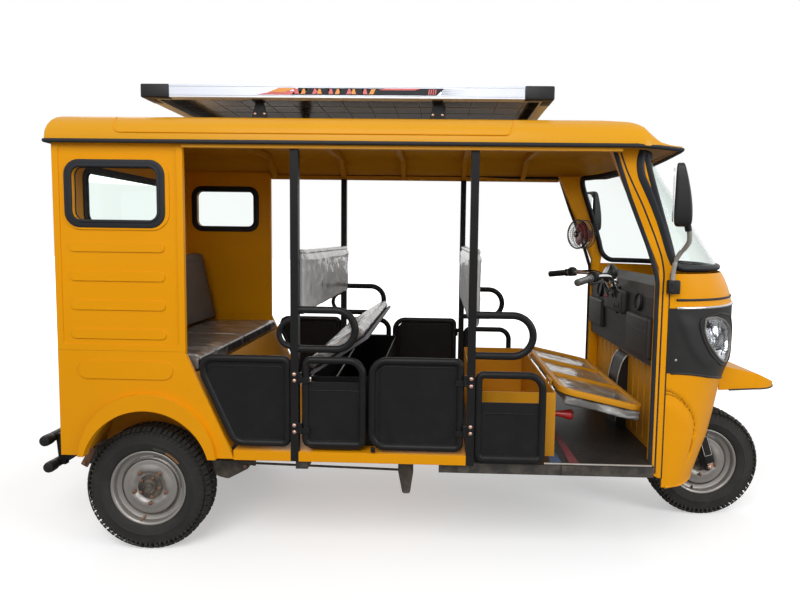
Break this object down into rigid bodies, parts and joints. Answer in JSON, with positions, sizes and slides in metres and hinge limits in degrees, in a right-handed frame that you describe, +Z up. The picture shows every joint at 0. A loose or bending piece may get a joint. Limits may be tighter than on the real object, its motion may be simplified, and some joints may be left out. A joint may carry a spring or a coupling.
{
  "type": "auto rickshaw",
  "caption": "Open-sided electric three-wheeled passenger rickshaw with bench seats, half doors, tube frames, a curved nose and a solar panel on its roof.",
  "frame": {"origin": "on the ground under the centre of the overall box", "axes": "+X forward along the vehicle, +Y to its left, +Z up"},
  "size_m": [3.4429, 1.42, 1.994],
  "materials": {
    "yellow": "gloss, dusty",
    "side_yellow": "gloss",
    "roof_paint": "gloss",
    "black_paint": "satin, dusty",
    "rust_black": "worn with rust",
    "nose_yellow": "gloss",
    "nose_black": "gloss",
    "seat_grey": "soft, under clear film",
    "seat_dark": "soft",
    "tyre": "matte",
    "rim": "silver, dusty",
    "glass": "clear",
    "lens": "clear",
    "red_lens": "clear red",
    "mat": "ribbed mat",
    "dash": "grained",
    "chrome": "polished",
    "alu": "anodised",
    "wood": "worn board",
    "fan_white": "plain",
    "fan_red": "plain",
    "iron": "dusty",
    "battery": "plain"
  },
  "bodies": {
    "body": {"battery_pack": "battery", "brake_linkage": "rust_black", "bulkhead": "yellow", "cab_floor": "mat", "cab_pillars": "yellow", "chassis": "rust_black", "dashboard": "dash", "drive_motor": "iron", "driver_backrest": "seat_grey", "driver_seat_box": "yellow", "fan_cage": "fan_white", "front_cowl": "nose_yellow", "front_guards": "black_paint", "headlamps": "lens", "leaf_springs": "rust_black", "middle_backrest": "seat_grey", "middle_seat_box": "yellow", "mirrors": "dash", "mudguard": "nose_yellow", "nose_band": "nose_black", "passenger_floor": "yellow", "rear_axle": "iron", "rear_backrest": "seat_grey", "rear_bumper": "rust_black", "rear_cushion": "seat_grey", "rear_guards": "black_paint", "rear_quarter_left": "yellow", "rear_quarter_right": "yellow", "rear_seat_box": "yellow", "rear_side_left": "side_yellow", "rear_side_right": "side_yellow", "rear_wall": "side_yellow", "roof_frame": "yellow", "roof_shell": "roof_paint", "scuttle": "nose_yellow", "side_frames": "black_paint", "solar_brackets": "black_paint", "solar_panel": "alu", "tail_lamps": "red_lens", "windscreen": "glass"},
    "rear_wheel_left": {"rear_tyre_left": "tyre", "rear_rim_left": "rim"},
    "rear_wheel_right": {"rear_tyre_right": "tyre", "rear_rim_right": "rim"},
    "steering": {"fork": "rust_black", "handlebar": "dash"},
    "front_wheel": {"front_tyre": "tyre", "front_rim": "rim"},
    "rear_door_left": {"rear_door_left": "black_paint"},
    "rear_door_right": {"rear_door_right": "black_paint"},
    "front_door_left": {"front_door_left": "black_paint"},
    "front_door_right": {"front_door_right": "black_paint"},
    "driver_lid": {"driver_lid": "wood", "driver_cushion": "seat_grey"},
    "middle_lid": {"middle_seat_base": "seat_dark", "middle_cushion": "seat_grey"},
    "seat_stay": {"seat_stay": "chrome"},
    "fan_rotor": {"fan_blades": "fan_red"}
  },
  "joints": [
    {"name": "rear_wheel_left_spin", "type": "hinge", "parent": "body", "child": "rear_wheel_left", "pos_m": [-1.186, 0.461, 0.27], "axis": [0, 1, 0], "continuous": true},
    {"name": "rear_wheel_right_spin", "type": "hinge", "parent": "body", "child": "rear_wheel_right", "pos_m": [-1.186, -0.461, 0.27], "axis": [0, 1, 0], "continuous": true},
    {"name": "steering_turn", "type": "hinge", "parent": "body", "child": "steering", "pos_m": [1.382, 0, 0.27], "axis": [-0.454, 0, 0.891], "range_deg": [-35, 35]},
    {"name": "front_wheel_spin", "type": "hinge", "parent": "steering", "child": "front_wheel", "pos_m": [1.397, 0, 0.27], "axis": [0, 1, 0], "continuous": true},
    {"name": "rear_door_left_swing", "type": "hinge", "parent": "body", "child": "rear_door_left", "pos_m": [-0.495, 0.604, 0.69], "axis": [0, 0, 1], "range_deg": [0, 110]},
    {"name": "rear_door_right_swing", "type": "hinge", "parent": "body", "child": "rear_door_right", "pos_m": [-0.495, -0.604, 0.69], "axis": [0, 0, -1], "range_deg": [0, 110]},
    {"name": "front_door_left_swing", "type": "hinge", "parent": "body", "child": "front_door_left", "pos_m": [0.174, 0.604, 0.69], "axis": [0, 0, -1], "range_deg": [0, 110]},
    {"name": "front_door_right_swing", "type": "hinge", "parent": "body", "child": "front_door_right", "pos_m": [0.174, -0.604, 0.69], "axis": [0, 0, 1], "range_deg": [0, 110]},
    {"name": "driver_lid_close", "type": "hinge", "parent": "body", "child": "driver_lid", "pos_m": [0.571, 0, 0.739], "axis": [0, -1, 0], "range_deg": [0, 192.2]},
    {"name": "middle_lid_close", "type": "hinge", "parent": "body", "child": "middle_lid", "pos_m": [-0.468, 0, 0.789], "axis": [0, 1, 0], "range_deg": [0, 34]},
    {"name": "seat_stay_fold", "type": "hinge", "parent": "body", "child": "seat_stay", "pos_m": [-0.364, -0.503, 0.778], "axis": [0, 1, 0], "range_deg": [0, 60]},
    {"name": "fan_spin", "type": "hinge", "parent": "body", "child": "fan_rotor", "pos_m": [0.894, 0.427, 1.404], "axis": [-0.8645, -0.5026, 0], "continuous": true}
  ],
  "couplings": [
    {"joint": "seat_stay_fold", "follows": "middle_lid_close", "ratio": 1.7588}
  ]
}
